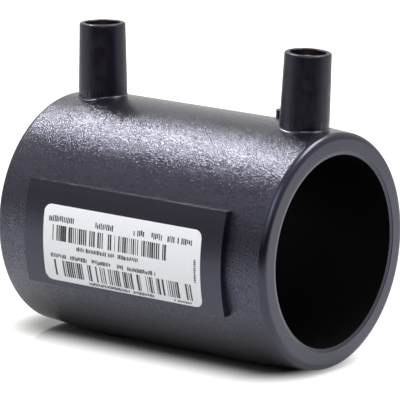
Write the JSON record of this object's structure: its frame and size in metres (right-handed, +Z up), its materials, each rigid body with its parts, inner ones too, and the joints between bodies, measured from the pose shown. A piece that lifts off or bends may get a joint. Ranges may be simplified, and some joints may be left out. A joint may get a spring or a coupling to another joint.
{
  "type": "electrofusion coupler",
  "caption": "Black plastic sleeve that welds pipes together end to end, with a buried heating winding, shrouded terminals and a label pad.",
  "frame": {"origin": "on the centre line of the pipes, midway between the mouths", "axes": "+X along the pipes, towards the end beside the indicator boss; +Z up the terminals; -Y out of the label pad"},
  "size_m": [0.0872, 0.0651, 0.0828],
  "materials": {
    "black_polyethylene": "satin, fine grained on the barrel and smooth on the pad, shrouds and end faces",
    "resistance_wire": "drawn wire",
    "terminal_brass": "turned, dull",
    "label_film": "printed film, satin"
  },
  "bodies": {
    "root": {"body": "black_polyethylene", "heating_wire": "resistance_wire", "terminal_pin_left": "terminal_brass", "terminal_pin_right": "terminal_brass", "label": "label_film"}
  },
  "joints": []
}
